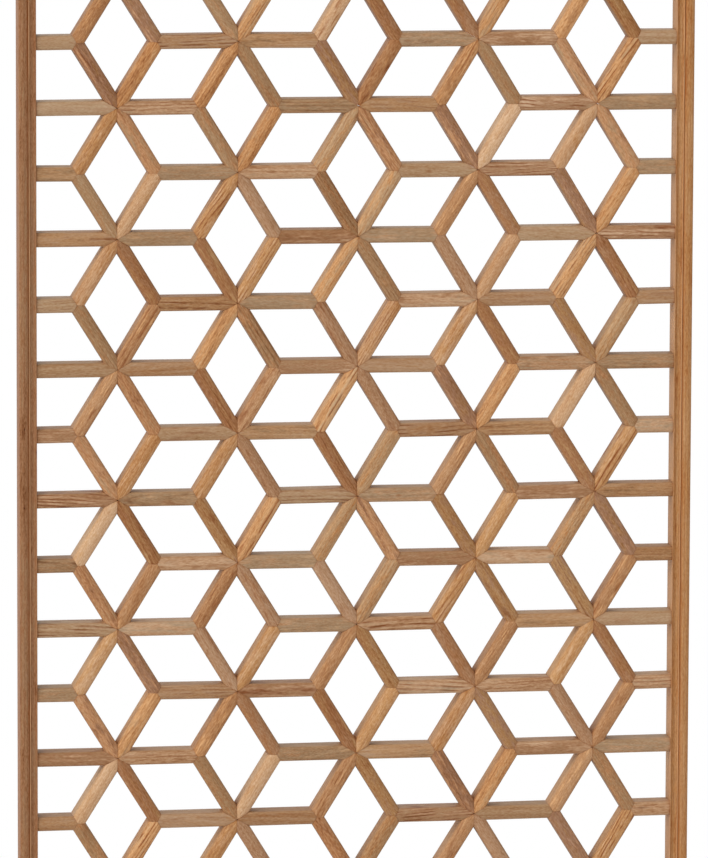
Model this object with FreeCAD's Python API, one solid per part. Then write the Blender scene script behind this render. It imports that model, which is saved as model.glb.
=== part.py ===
import FreeCAD, Part
import math
import os

# A tall, narrow, open lattice panel in wood that hangs flat against a wall.
# Millimetres. +Z is up, +X is to the right as seen from the front, and the front faces -Y.
# The origin is under the middle of the panel, at its lower edge and halfway through its depth.

# Lattice: stars where six strips meet, with three-way knots between them
HALF_LEVEL = 41.5
HALF_PITCH = 67.4
COLUMNS = 16
ROWS = 30
STAR_REPEAT = 6
ODD_ROW_STAR = 2
EVEN_ROW_STAR = 5
ROWS_PER_COURSE = 2

# Lattice strip: flat sides and back, and a rounded front
STRIP_WIDTH = 14.8
STRIP_DEPTH = 25.0
STRIP_CROWN = 2.2

# Tongues of the strips: a key across each mitre, and a stub where a strip meets the frame
KEY_WIDTH = 3.0
KEY_THICKNESS = 8.0
KEY_LENGTH = 3.5
KEY_PLACE_SHARE = 0.58
STUB_WIDTH = 5.0
STUB_THICKNESS = 10.0
STUB_LENGTH = 7.0

# Frame moulding, from its outer edge inwards: a broad, slightly rounded band, a quirk and a cove
FRAME_WIDTH = 18.0
FRAME_DEPTH = 30.0
BAND_WIDTH = 9.4
BAND_RISE = 1.0
QUIRK_WIDTH = 1.2
QUIRK_DEPTH = 1.0
QUIRK_LIP = 0.2
COVE_SAG = 1.1
INNER_ARRIS_SETBACK = 1.6
LATTICE_SETBACK = 3.0

# Frame corners: mitred in front, square behind, with a pinned tenon
MITRE_DEPTH = 8.0
FRAME_TENON_LENGTH = 13.0
FRAME_TENON_HEIGHT = 10.0
FRAME_TENON_THICKNESS = 8.0
PEG_RADIUS = 2.5
PEG_PAST_TENON = 3.0

# Keyhole hanger plates, let into the back of each stile, with two countersunk screws each
HANGER_WIDTH = 14.0
HANGER_LENGTH = 46.0
HANGER_THICKNESS = 1.5
HANGER_PITCHES_DOWN_SHARE = 1.5
KEYHOLE_RADIUS = 4.5
KEYHOLE_SLOT_RADIUS = 2.25
KEYHOLE_DROP = 5.0
KEYHOLE_TRAVEL = 12.0
POCKET_DEPTH = 6.0
POCKET_MARGIN = 0.7
SCREW_SPACING = 35.0
SCREW_SHANK_RADIUS = 1.5
SCREW_HEAD_RADIUS = 2.75
SCREW_HEAD_HEIGHT = 1.3
SCREW_LENGTH = 14.0
SCREW_POINT = 3.0
DRIVE_RECESS_RADIUS = 1.2
DRIVE_RECESS_DEPTH = 0.8

# Fits, and how far a cutting shape runs past what it cuts
GLUE_LINE = 0.1
TONGUE_CLEARANCE = 0.15
PEG_CLEARANCE = 0.05
PLATE_CLEARANCE = 0.2
OVERRUN = 5.0

# Overall sizes that follow
OPENING_WIDTH = COLUMNS * HALF_LEVEL
OPENING_HEIGHT = ROWS * HALF_PITCH
PANEL_WIDTH = OPENING_WIDTH + 2 * FRAME_WIDTH
PANEL_HEIGHT = OPENING_HEIGHT + 2 * FRAME_WIDTH
FRONT = -FRAME_DEPTH / 2
BACK = FRAME_DEPTH / 2
CROWN_FRONT = FRONT + LATTICE_SETBACK
SHOULDER_FRONT = CROWN_FRONT + STRIP_CROWN
STRIP_BACK = CROWN_FRONT + STRIP_DEPTH
TONGUE_MIDDLE = (SHOULDER_FRONT + STRIP_BACK) / 2
HALF_GLUE = GLUE_LINE / 2

# The six ways a strip can leave a star, in columns and rows
STAR_STEPS = [(2, 0), (1, 1), (-1, 1), (-2, 0), (-1, -1), (1, -1)]

# Turns, in radians
FULL_TURN = math.tau
HALF_TURN = math.pi
QUARTER_TURN = math.pi / 2

DEPTH_AXIS = FreeCAD.Vector(0, 1, 0)


def place(column, row):
    """The point on the panel's middle plane at this column and row of the lattice."""
    x = column * HALF_LEVEL - OPENING_WIDTH / 2
    z = row * HALF_PITCH + FRAME_WIDTH
    return FreeCAD.Vector(x, 0, z)


def heading(turn):
    """The unit vector in the panel's plane, turned from +X towards +Z."""
    return FreeCAD.Vector(math.cos(turn), 0, math.sin(turn))


def angle_of(step):
    """The true direction of a step, from 0 to under a full turn."""
    return math.atan2(step[1] * HALF_PITCH, step[0] * HALF_LEVEL) % FULL_TURN


def prism(points, low, high):
    """The solid over an outline in the panel's plane, between two depths."""
    outline = [FreeCAD.Vector(p.x, low, p.z) for p in points]
    face = Part.Face(Part.makePolygon(outline + outline[:1]))
    return face.extrude(DEPTH_AXIS * (high - low))


def oriented_block(middle, along, half_along, across, reach_low, reach_high, thickness):
    """A block about a point: a width along one way, a reach across it and a thickness in depth."""
    corners = []
    for side, reach in ((-1, reach_low), (1, reach_low), (1, reach_high), (-1, reach_high)):
        corners.append(middle + along * (side * half_along) + across * reach)
    return prism(corners, TONGUE_MIDDLE - thickness / 2, TONGUE_MIDDLE + thickness / 2)


# Lattice plan

def is_star(column, row):
    """True where six strips meet. Stars of odd and even rows are half a repeat apart."""
    first = ODD_ROW_STAR if row % 2 else EVEN_ROW_STAR
    return (column - first) % STAR_REPEAT == 0


def has_strip(column, row, step):
    """True if a strip leaves this place by this step, at least until it meets the frame."""
    far_column = column + step[0]
    far_row = row + step[1]
    if not (is_star(column, row) or is_star(far_column, far_row)):
        return False
    if not 0 <= far_row <= ROWS:
        return False
    if step[1] == 0 and row in (0, ROWS):
        return False
    low = max(min(column, far_column), 0)
    high = min(max(column, far_column), COLUMNS)
    return low < high


def strip_list():
    """Each strip once, as the place of a star and the step that it leaves it by."""
    strips = []
    for row in range(ROWS + 1):
        for column in range(1 - ODD_ROW_STAR, COLUMNS + ODD_ROW_STAR):
            if not is_star(column, row):
                continue
            for step in STAR_STEPS:
                if has_strip(column, row, step):
                    strips.append((column, row, step))
    return strips


def clipped_ends(column, row, step):
    """The strip's two ends inside the frame, as places of the lattice."""
    ends = []
    for c, r in ((column, row), (column + step[0], row + step[1])):
        ends.append((min(max(c, 0), COLUMNS), r))
    return ends


def frame_side(column, row):
    """The way out of the opening at a place on the frame, or None inside it."""
    if column == 0:
        return HALF_TURN
    if column == COLUMNS:
        return 0.0
    if row == 0:
        return -QUARTER_TURN
    if row == ROWS:
        return QUARTER_TURN
    return None


def neighbours(column, row, own_step):
    """The steps of the other strips that leave the place where a strip ends."""
    return tuple(s for s in STAR_STEPS if s != own_step and has_strip(column, row, s))


def reversed_step(step):
    """The step back from the far end."""
    return -step[0], -step[1]


# Strips

def keep_side(outline, point, inward):
    """The part of a convex outline on the inward side of a line through the point."""
    kept = []
    for i, here in enumerate(outline):
        after = outline[(i + 1) % len(outline)]
        a = (here - point).dot(inward)
        b = (after - point).dot(inward)
        if a >= 0:
            kept.append(here)
        if a * b < 0:
            kept.append(here + (after - here) * (a / (a - b)))
    return kept


def mitres(place_of_end, own_step):
    """The mitres on a strip's end: for each, its line's angle, half opening and turning side."""
    own_angle = angle_of(own_step)
    angles = [angle_of(s) for s in neighbours(*place_of_end, own_step)]
    found = []
    for side in (1, -1):
        gaps = [((a - own_angle) * side) % FULL_TURN for a in angles]
        gaps = [g for g in gaps if g < HALF_TURN]
        if gaps:
            half = min(gaps) / 2
            found.append((own_angle + side * half, half, side))
    return found


def key_block(knot, line_angle, half_opening, clearance):
    """The key that crosses a mitre, in the turning direction, from the strip that carries it."""
    face_length = (STRIP_WIDTH / 2) / math.sin(half_opening)
    along = heading(line_angle)
    middle = knot + along * (KEY_PLACE_SHARE * face_length)
    return oriented_block(
        middle,
        along,
        KEY_WIDTH / 2 + clearance,
        heading(line_angle + QUARTER_TURN),
        -KEY_WIDTH / 2,
        KEY_LENGTH + clearance,
        KEY_THICKNESS + 2 * clearance,
    )


def stub_block(outline, knot, side_angle, clearance):
    """The stub tenon on a strip's flat end, going out into the frame."""
    outward = heading(side_angle)
    along = heading(side_angle + QUARTER_TURN)
    on_frame = [p for p in outline if (p - knot).dot(outward) > -GLUE_LINE]
    offsets = [(p - knot).dot(along) for p in on_frame]
    middle = knot + along * ((min(offsets) + max(offsets)) / 2)
    return oriented_block(
        middle,
        along,
        STUB_WIDTH / 2 + clearance,
        outward,
        -STUB_WIDTH / 2,
        STUB_LENGTH + clearance,
        STUB_THICKNESS + 2 * clearance,
    )


def strip_blank(start, own_angle, length):
    """A straight strip with its rounded front, longer than needed at both ends."""
    along = heading(own_angle)
    across = heading(own_angle + QUARTER_TURN)
    root = start - along * (STRIP_WIDTH + OVERRUN)

    def section_point(offset, depth):
        return root + across * offset + DEPTH_AXIS * depth

    half = STRIP_WIDTH / 2
    left = section_point(-half, SHOULDER_FRONT)
    crown = section_point(0, CROWN_FRONT)
    right = section_point(half, SHOULDER_FRONT)
    right_back = section_point(half, STRIP_BACK)
    left_back = section_point(-half, STRIP_BACK)
    edges = [
        Part.Arc(left, crown, right).toShape(),
        Part.LineSegment(right, right_back).toShape(),
        Part.LineSegment(right_back, left_back).toShape(),
        Part.LineSegment(left_back, left).toShape(),
    ]
    section = Part.Face(Part.Wire(edges))
    return section.extrude(along * (length + 2 * (STRIP_WIDTH + OVERRUN)))


def strip_outline(ends, step, length):
    """The strip's outline from the front: a bar cut back by its mitres and by the frame."""
    start = place(*ends[0])
    along = heading(angle_of(step))
    across = heading(angle_of(step) + QUARTER_TURN)
    reach = STRIP_WIDTH + OVERRUN
    outline = []
    for run, side in ((-reach, -1), (length + reach, -1), (length + reach, 1), (-reach, 1)):
        outline.append(start + along * run + across * (side * STRIP_WIDTH / 2))
    for end, own_step in zip(ends, (step, reversed_step(step))):
        knot = place(*end)
        for line_angle, half_opening, side in mitres(end, own_step):
            inward = heading(line_angle - side * QUARTER_TURN)
            outline = keep_side(outline, knot + inward * HALF_GLUE, inward)
        side_angle = frame_side(*end)
        if side_angle is not None:
            inward = heading(side_angle + HALF_TURN)
            outline = keep_side(outline, knot + inward * HALF_GLUE, inward)
    return outline


def make_strip(ends, step):
    """One finished strip, and the blocks that its stubs need cut out of the frame."""
    start, finish = (place(*end) for end in ends)
    length = (finish - start).Length
    outline = strip_outline(ends, step, length)
    body = strip_blank(start, angle_of(step), length).common(prism(outline, FRONT, STRIP_BACK + OVERRUN))
    sockets = []
    for end, own_step in zip(ends, (step, reversed_step(step))):
        knot = place(*end)
        for line_angle, half_opening, side in mitres(end, own_step):
            if side > 0:
                body = body.fuse(key_block(knot, line_angle, half_opening, 0))
            else:
                body = body.cut(key_block(knot, line_angle, half_opening, TONGUE_CLEARANCE))
        side_angle = frame_side(*end)
        if side_angle is not None:
            body = body.fuse(stub_block(outline, knot, side_angle, 0))
            sockets.append(stub_block(outline, knot, side_angle, TONGUE_CLEARANCE))
    return body.removeSplitter().Solids[0], sockets


def end_kind(place_of_end, own_step):
    """What shapes a strip's end: the strips that it meets there, and the frame's side."""
    return neighbours(*place_of_end, own_step), frame_side(*place_of_end)


def slope_name(step):
    """Level, rising or falling, as the strip is seen from the front from left to right."""
    if step[1] == 0:
        return "level"
    return "rising" if step[0] * step[1] > 0 else "falling"


def build_lattice():
    """All strips by node name, and the sockets that their stubs need in the frame."""
    patterns = {}
    groups = {}
    sockets = []
    for column, row, step in strip_list():
        ends = clipped_ends(column, row, step)
        kinds = end_kind(ends[0], step), end_kind(ends[1], reversed_step(step))
        key = step, ends[1][0] - ends[0][0], kinds
        if key not in patterns:
            patterns[key] = place(*ends[0]), *make_strip(ends, step)
        first_place, solid, first_sockets = patterns[key]
        shift = place(*ends[0]) - first_place
        course = (max(ends[0][1], ends[1][1]) + ROWS_PER_COURSE - 1) // ROWS_PER_COURSE
        name = f"course_{course:02d}_{slope_name(step)}_strips"
        groups.setdefault(name, []).append(solid.translated(shift))
        sockets.extend(socket.translated(shift) for socket in first_sockets)
    return groups, sockets


# Frame

def moulded_bar(outer_corner, inward, along, length):
    """A frame member: its moulded section, run along its length."""
    inner_lip = BAND_WIDTH + QUIRK_WIDTH
    cove_middle = (inner_lip + FRAME_WIDTH) / 2
    lip_setback = BAND_RISE + QUIRK_LIP
    cove_setback = (lip_setback + INNER_ARRIS_SETBACK) / 2 + COVE_SAG

    def section_point(width, setback):
        return outer_corner + inward * width + DEPTH_AXIS * (FRONT + setback)

    outer_foot = section_point(0, BAND_RISE)
    band_end = section_point(BAND_WIDTH, BAND_RISE)
    quirk = section_point(BAND_WIDTH + QUIRK_WIDTH / 2, BAND_RISE + QUIRK_DEPTH)
    lip = section_point(inner_lip, lip_setback)
    arris = section_point(FRAME_WIDTH, INNER_ARRIS_SETBACK)
    inner_back = section_point(FRAME_WIDTH, FRAME_DEPTH)
    outer_back = section_point(0, FRAME_DEPTH)
    edges = [
        Part.Arc(outer_foot, section_point(BAND_WIDTH / 2, 0), band_end).toShape(),
        Part.LineSegment(band_end, quirk).toShape(),
        Part.LineSegment(quirk, lip).toShape(),
        Part.Arc(lip, section_point(cove_middle, cove_setback), arris).toShape(),
        Part.LineSegment(arris, inner_back).toShape(),
        Part.LineSegment(inner_back, outer_back).toShape(),
        Part.LineSegment(outer_back, outer_foot).toShape(),
    ]
    return Part.Face(Part.Wire(edges)).extrude(along * length)


def corner_point(side, level, in_x, in_z):
    """A point at a corner of the panel, by how far in it lies along the rail and up the stile."""
    x = side * (PANEL_WIDTH / 2 - in_x)
    z = in_z if level < 0 else PANEL_HEIGHT - in_z
    return FreeCAD.Vector(x, 0, z)


def corner_prism(side, level, distances_in, low, high):
    """A solid at a corner, from an outline of distances in along the rail and the stile."""
    return prism([corner_point(side, level, a, b) for a, b in distances_in], low, high)


def stile_corner_cut(side, level):
    """What the rail's mitred front takes from the end of a stile."""
    near = -OVERRUN
    far = FRAME_WIDTH + OVERRUN
    outline = [(near - GLUE_LINE, near), (far, near), (far, far + GLUE_LINE)]
    return corner_prism(side, level, outline, FRONT - OVERRUN, FRONT + MITRE_DEPTH)


def rail_corner_cuts(side, level):
    """What the stile takes from the end of a rail: the mitre in front, the square part behind."""
    near = -OVERRUN
    far = FRAME_WIDTH + OVERRUN
    split = FRONT + MITRE_DEPTH - GLUE_LINE
    front_outline = [(near, near), (far, far), (near, far)]
    square = FRAME_WIDTH + HALF_GLUE
    back_outline = [(near, near), (square, near), (square, far), (near, far)]
    front = corner_prism(side, level, front_outline, FRONT - OVERRUN, split)
    back = corner_prism(side, level, back_outline, split, BACK + OVERRUN)
    return front, back


def rail_tenon(side, level, clearance):
    """The tenon on a rail's end, halfway through the square part of the corner."""
    middle_depth = (FRONT + MITRE_DEPTH + BACK) / 2
    half_height = FRAME_TENON_HEIGHT / 2 + clearance
    tip = FRAME_WIDTH - FRAME_TENON_LENGTH - clearance
    root = FRAME_WIDTH + FRAME_TENON_HEIGHT / 2
    low = FRAME_WIDTH / 2 - half_height
    high = FRAME_WIDTH / 2 + half_height
    outline = [(tip, low), (root, low), (root, high), (tip, high)]
    half_thickness = FRAME_TENON_THICKNESS / 2 + clearance
    return corner_prism(
        side, level, outline, middle_depth - half_thickness, middle_depth + half_thickness
    )


def corner_peg(side, level, clearance):
    """The round peg that pins a tenon, driven in from the back and cut flush."""
    middle_depth = (FRONT + MITRE_DEPTH + BACK) / 2
    tip = middle_depth - FRAME_TENON_THICKNESS / 2 - PEG_PAST_TENON - clearance
    centre = corner_point(side, level, FRAME_WIDTH - FRAME_TENON_LENGTH / 2, FRAME_WIDTH / 2)
    base = centre + DEPTH_AXIS * tip
    return Part.makeCylinder(PEG_RADIUS + clearance, BACK - tip, base, DEPTH_AXIS)


def build_frame(sockets):
    """Stiles and rails by node name, with their corners, peg holes and strip sockets cut."""
    members = {}
    for side, name in ((-1, "left_stile"), (1, "right_stile")):
        foot = corner_point(side, -1, 0, 0)
        stile = moulded_bar(foot, FreeCAD.Vector(-side, 0, 0), FreeCAD.Vector(0, 0, 1), PANEL_HEIGHT)
        tools = [s for s in sockets if stile.BoundBox.intersect(s.BoundBox)]
        for level in (-1, 1):
            tools.append(stile_corner_cut(side, level))
            tools.append(rail_tenon(side, level, TONGUE_CLEARANCE))
            tools.append(corner_peg(side, level, PEG_CLEARANCE))
        tools.extend(hanger_seat(side))
        members[name] = stile.cut(tools)
    for level, name in ((-1, "bottom_rail"), (1, "top_rail")):
        end = corner_point(-1, level, 0, 0)
        rail = moulded_bar(end, FreeCAD.Vector(0, 0, -level), FreeCAD.Vector(1, 0, 0), PANEL_WIDTH)
        tools = [s for s in sockets if rail.BoundBox.intersect(s.BoundBox)]
        for side in (-1, 1):
            tools.extend(rail_corner_cuts(side, level))
        rail = rail.cut(tools)
        rail = rail.fuse([rail_tenon(side, level, 0) for side in (-1, 1)])
        members[name] = rail.cut([corner_peg(side, level, PEG_CLEARANCE) for side in (-1, 1)])
    members["corner_pegs"] = Part.Compound(
        [corner_peg(side, level, 0) for side in (-1, 1) for level in (-1, 1)]
    )
    return members


# Hangers

def upright_slot(middle, length, radius, low, high):
    """A prism with round ends, standing upright, between two depths."""
    half = length / 2 - radius
    up = FreeCAD.Vector(0, 0, 1)
    right = FreeCAD.Vector(1, 0, 0)
    base = FreeCAD.Vector(middle.x, low, middle.z)
    top_left = base + up * half - right * radius
    top_right = base + up * half + right * radius
    bottom_left = base - up * half - right * radius
    bottom_right = base - up * half + right * radius
    edges = [
        Part.Arc(top_left, base + up * (half + radius), top_right).toShape(),
        Part.LineSegment(top_right, bottom_right).toShape(),
        Part.Arc(bottom_right, base - up * (half + radius), bottom_left).toShape(),
        Part.LineSegment(bottom_left, top_left).toShape(),
    ]
    return Part.Face(Part.Wire(edges)).extrude(DEPTH_AXIS * (high - low))


def hanger_middle(side):
    """The middle of a hanger plate, on the panel's middle plane."""
    drop = FRAME_WIDTH + HANGER_PITCHES_DOWN_SHARE * HALF_PITCH
    return corner_point(side, 1, FRAME_WIDTH / 2, drop)


def keyhole_slot(side, radius, low, high):
    """The upright slot that a wall screw travels in, from the keyhole's mouth to its top."""
    mouth = hanger_middle(side) - FreeCAD.Vector(0, 0, KEYHOLE_DROP)
    middle = mouth + FreeCAD.Vector(0, 0, KEYHOLE_TRAVEL / 2)
    return upright_slot(middle, KEYHOLE_TRAVEL + 2 * radius, radius, low, high)


def hanger_screw(side, level, clearance):
    """A countersunk wood screw, its head flush with the plate and its point in the stile."""
    outer = BACK - PLATE_CLEARANCE
    centre = hanger_middle(side) + FreeCAD.Vector(0, 0, level * SCREW_SPACING / 2)
    top = FreeCAD.Vector(centre.x, outer, centre.z)
    inwards = -DEPTH_AXIS
    head = Part.makeCone(
        SCREW_HEAD_RADIUS + clearance,
        SCREW_SHANK_RADIUS + clearance,
        SCREW_HEAD_HEIGHT,
        top,
        inwards,
    )
    neck = top + inwards * SCREW_HEAD_HEIGHT
    straight = SCREW_LENGTH - SCREW_HEAD_HEIGHT - SCREW_POINT
    shank = Part.makeCylinder(SCREW_SHANK_RADIUS + clearance, straight, neck, inwards)
    tip_base = neck + inwards * straight
    tip = Part.makeCone(SCREW_SHANK_RADIUS + clearance, 0, SCREW_POINT + clearance, tip_base, inwards)
    screw = head.fuse([shank, tip])
    if clearance:
        return screw
    recess = Part.makeCylinder(DRIVE_RECESS_RADIUS, DRIVE_RECESS_DEPTH, top, inwards)
    return screw.cut(recess)


def hanger_seat(side):
    """What a hanger needs cut out of its stile: the plate's seat, the pocket and the screw holes."""
    floor = BACK - PLATE_CLEARANCE - HANGER_THICKNESS
    middle = hanger_middle(side)
    seat = upright_slot(
        middle,
        HANGER_LENGTH + 2 * PLATE_CLEARANCE,
        HANGER_WIDTH / 2 + PLATE_CLEARANCE,
        floor,
        BACK + OVERRUN,
    )
    pocket = keyhole_slot(side, KEYHOLE_RADIUS + POCKET_MARGIN, floor - POCKET_DEPTH, floor)
    return [seat, pocket] + [hanger_screw(side, level, PEG_CLEARANCE) for level in (-1, 1)]


def hanger_plate(side):
    """A thin plate with round ends, a keyhole and two countersunk holes."""
    outer = BACK - PLATE_CLEARANCE
    floor = outer - HANGER_THICKNESS
    plate = upright_slot(hanger_middle(side), HANGER_LENGTH, HANGER_WIDTH / 2, floor, outer)
    mouth = hanger_middle(side) - FreeCAD.Vector(0, 0, KEYHOLE_DROP)
    mouth.y = floor
    entry = Part.makeCylinder(KEYHOLE_RADIUS, HANGER_THICKNESS, mouth, DEPTH_AXIS)
    slot = keyhole_slot(side, KEYHOLE_SLOT_RADIUS, floor, outer)
    holes = [hanger_screw(side, level, PEG_CLEARANCE) for level in (-1, 1)]
    return plate.cut([entry, slot] + holes)


def build_hangers():
    """Hanger plates and their screws by node name."""
    screws = [hanger_screw(side, level, 0) for side in (-1, 1) for level in (-1, 1)]
    return {
        "left_hanger_plate": hanger_plate(-1),
        "right_hanger_plate": hanger_plate(1),
        "hanger_screws": Part.Compound(screws),
    }


def main():
    os.makedirs("parts", exist_ok=True)
    groups, sockets = build_lattice()
    nodes = build_frame(sockets)
    nodes.update(build_hangers())
    nodes.update((name, Part.Compound(solids)) for name, solids in groups.items())
    for name, shape in nodes.items():
        shape.exportStep(f"parts/{name}.step")
    print(len(nodes), "nodes,", sum(len(shape.Solids) for shape in nodes.values()), "solids")


main()
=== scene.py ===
import math
import random

import bpy
from mathutils import Matrix, Vector, noise


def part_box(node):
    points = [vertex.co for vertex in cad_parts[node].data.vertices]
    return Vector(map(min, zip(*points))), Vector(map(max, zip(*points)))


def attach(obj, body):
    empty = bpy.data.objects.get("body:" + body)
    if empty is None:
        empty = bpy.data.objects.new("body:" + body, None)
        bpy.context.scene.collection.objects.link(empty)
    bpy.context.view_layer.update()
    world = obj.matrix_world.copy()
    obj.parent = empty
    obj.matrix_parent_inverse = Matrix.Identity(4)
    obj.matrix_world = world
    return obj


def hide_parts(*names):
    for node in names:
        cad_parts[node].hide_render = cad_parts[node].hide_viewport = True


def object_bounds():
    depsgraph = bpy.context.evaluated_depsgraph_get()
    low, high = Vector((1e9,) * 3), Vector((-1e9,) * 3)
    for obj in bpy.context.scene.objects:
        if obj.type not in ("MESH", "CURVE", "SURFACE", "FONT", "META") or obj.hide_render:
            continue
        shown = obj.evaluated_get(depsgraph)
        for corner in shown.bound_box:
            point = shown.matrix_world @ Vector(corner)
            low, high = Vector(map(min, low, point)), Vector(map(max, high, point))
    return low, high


# A tall, narrow, open lattice panel: domed wooden strips mitred into stars, in a slim moulded frame.
# Metres. +Z is up, +X is to the right as seen from the front, and the front faces -Y.

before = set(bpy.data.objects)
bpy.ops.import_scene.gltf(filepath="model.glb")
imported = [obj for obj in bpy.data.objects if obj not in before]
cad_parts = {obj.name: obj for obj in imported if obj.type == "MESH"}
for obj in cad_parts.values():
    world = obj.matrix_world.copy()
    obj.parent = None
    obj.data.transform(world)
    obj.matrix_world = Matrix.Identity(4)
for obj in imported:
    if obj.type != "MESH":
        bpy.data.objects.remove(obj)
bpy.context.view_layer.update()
MM = 0.001

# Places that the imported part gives
PANEL_LOW, PANEL_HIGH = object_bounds()
STILE_LOW, STILE_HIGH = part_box("left_stile")
STRIPS_LOW, STRIPS_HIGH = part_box("course_02_level_strips")
PLATE_LOW, PLATE_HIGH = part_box("right_hanger_plate")
PEG_LOW, PEG_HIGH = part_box("corner_pegs")

# Lattice plan: stars of six strips, with three-way knots between them
COLUMNS = 16
ROWS = 30
STAR_REPEAT = 6
ODD_ROW_STAR = 2
EVEN_ROW_STAR = 5
ROWS_PER_COURSE = 2
STAR_STEPS = [(2, 0), (1, 1), (-1, 1), (-2, 0), (-1, -1), (1, -1)]
FRAME_WIDTH = STILE_HIGH.x - STILE_LOW.x
FRAME_DEPTH = STILE_HIGH.y - STILE_LOW.y
HALF_LEVEL = (PANEL_HIGH.x - PANEL_LOW.x - 2 * FRAME_WIDTH) / COLUMNS
HALF_PITCH = (PANEL_HIGH.z - PANEL_LOW.z - 2 * FRAME_WIDTH) / ROWS

# Strips: planed to a round front, with the arrises rubbed soft
STRIP_WIDTH = 14.8 * MM
STRIP_CROWN = 2.2 * MM
CROWN_FRONT = STRIPS_LOW.y
STRIP_BACK = STRIPS_HIGH.y
ARRIS = 1.7 * MM
BACK_ARRIS = 0.5 * MM
SIDE_FADE = 4 * ARRIS
HALF_GLUE = 0.03 * MM
JOINT_GROOVE = 0.12 * MM
COLUMN_SPACING = 9 * MM
END_INSETS = [0, 0.3 * MM, 0.9 * MM, 2.2 * MM, 4.5 * MM]

# How uneven hand work leaves the strips: crowns high or low and tilted, ends out of line, plane marks
CROWN_UNEVEN = 0.30 * MM
DOME_TILT = 0.06
SIDE_SLIP = 0.25 * MM
PLANE_WAVE = 0.10 * MM
PLANE_WAVE_LENGTH = 35 * MM
PLANE_WAVE_SEEDS = 1000

# Points of a strip's section: across its dome as shares of its half width, then turns round the arris,
# each with how much it is side face and how much it is rubbed
DOME_SHARES = -1, -0.8, -0.55, -0.28, 0, 0.28, 0.55, 0.8, 1
DOME_EDGE_RUB = 0.6
ARRIS_TURNS = (0.2, 0.15, 0.7), (0.45, 0.4, 1), (0.75, 0.7, 0.7), (1, 0.9, 0.3)

# Boards of the strips and of the frame's members: how they were sawn from the log and how they differ
PALETTE_COLOURS = 6
PICK_SPREAD = 0.2
LIGHTNESS_SPREAD = 0.25
LOG_HALF_LENGTH = 5.0
GRAIN_SCALE = 0.75, 1.3
STRIP_FROM_HEART = 25 * MM, 110 * MM
STRIP_LEAN = 0.035
MEMBER_FROM_HEART = 60 * MM, 120 * MM
MEMBER_LEAN = 0.004
MEMBER_LIGHTNESS, MEMBER_RINGS = 0.5, 0.5
RING_LEAST, RING_SPREAD = 0.1, 1.3
RING_SHOW = {"level": 1.0, "rising": 0.95, "falling": 0.6}

# Old oil at joints and round a star's middle, and painted shade in a sharp corner: how far each reaches.
# An end whose sharpness is under SQUARE_CUT meets the frame squarely, and is darkened there by old oil
# and by a painted contact shadow, most on its lower part.
JOINT_REACH = 0.35 * MM
FRAME_JOINT_REACH = 1.2 * MM
NOOK_REACH = 2.6 * MM
STAR_REACH = 1.6 * MM
JOINT_SHADE = 0.25
NOOK_SHADE = 0.88
# Beside a level strip a sharp corner gets weaker painted shade, with painted light laid over it
LEVEL_NOOK_SHADE = 0.3
LEVEL_NOOK_LIGHT = 6.5
STAR_SHADE = 0.5
LEAST_STAR_SHARE = 0.3
FRAME_JOINT_SHADE = 0.8
FRAME_JOINT_UPPER_SHARE = 0.35
SQUARE_CUT = 0.01

# Frame moulding, from the outer edge inwards
BAND_WIDTH = 9.4 * MM
BAND_RISE = 1.35 * MM
BAND_POINTS = 13
QUIRK_WIDTH = 1.2 * MM
QUIRK_DEPTH = 1.0 * MM
COVE_SAG = 1.6 * MM
COVE_POINTS = 11
INNER_ARRIS_SETBACK = 1.6 * MM
FRAME_ARRIS = 0.4 * MM
MITRE_DEPTH = 8.0 * MM
MITRE_GAP = 0.2 * MM
FRAME_SPACING = 12 * MM
OVERRUN = 5 * MM

# Marks on the frame: painted shade in the quirk and the cove, a lip between them that is rubbed pale and
# painted with a highlight, and inner sides paled as painted light, all of them stronger and weaker along
# its length. The outer sides are darkened evenly with painted shade.
LIP_RUB_AND_HIGHLIGHT = 9.0
LIP_QUIRK_SHARE = 0.9
LIP_REACH = 0.4 * MM
QUIRK_SHADE = 0.6
QUIRK_SHADE_SHARE = 0.3
QUIRK_SHADE_REACH = 1.3 * MM
COVE_SHADE = 0.15
COVE_SHADE_INSET = 1.4 * MM
COVE_SHADE_REACH = 1.3 * MM
INNER_SIDE_LIGHT = 3.0
OUTER_SIDE_SHADE = 0.2
MARK_UNEVEN = 1.1
MARK_LENGTH = 28 * MM
MARK_SEED = 9

# Keyhole hangers, let into the backs of the stiles
PLATE_CLEARANCE = 0.2 * MM
KEYHOLE_RADIUS = 4.5 * MM
KEYHOLE_DROP = 5.0 * MM
KEYHOLE_TRAVEL = 12.0 * MM
POCKET_DEPTH = 6.0 * MM
POCKET_MARGIN = 0.7 * MM
PEG_RADIUS = 2.55 * MM
ROUND_END_STEPS = 12

SHARP_ANGLE = 48
chance = random.Random(11)


# Lattice plan

def is_star(column, row):
    """True where six strips meet."""
    first = ODD_ROW_STAR if row % 2 else EVEN_ROW_STAR
    return (column - first) % STAR_REPEAT == 0


def has_strip(column, row, step):
    """True if a strip leaves this place by this step, at least until it meets the frame."""
    far_column, far_row = column + step[0], row + step[1]
    if not (is_star(column, row) or is_star(far_column, far_row)):
        return False
    if not 0 <= far_row <= ROWS or (step[1] == 0 and row in (0, ROWS)):
        return False
    return max(min(column, far_column), 0) < min(max(column, far_column), COLUMNS)


def knot(column, row):
    """A place of the lattice, on the panel's middle plane."""
    x = PANEL_LOW.x + FRAME_WIDTH + column * HALF_LEVEL
    z = PANEL_LOW.z + FRAME_WIDTH + row * HALF_PITCH
    return Vector((x, 0, z))


def angle_of(step):
    """The direction of a step, turned from +X towards +Z."""
    return math.atan2(step[1] * HALF_PITCH, step[0] * HALF_LEVEL) % math.tau


def heading(angle):
    """The unit vector in the panel's plane at this angle."""
    return Vector((math.cos(angle), 0, math.sin(angle)))


def slope_of(step):
    """A strip's kind, by the way it runs across the front."""
    if step[1] == 0:
        return "level"
    return "rising" if step[0] * step[1] > 0 else "falling"


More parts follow.
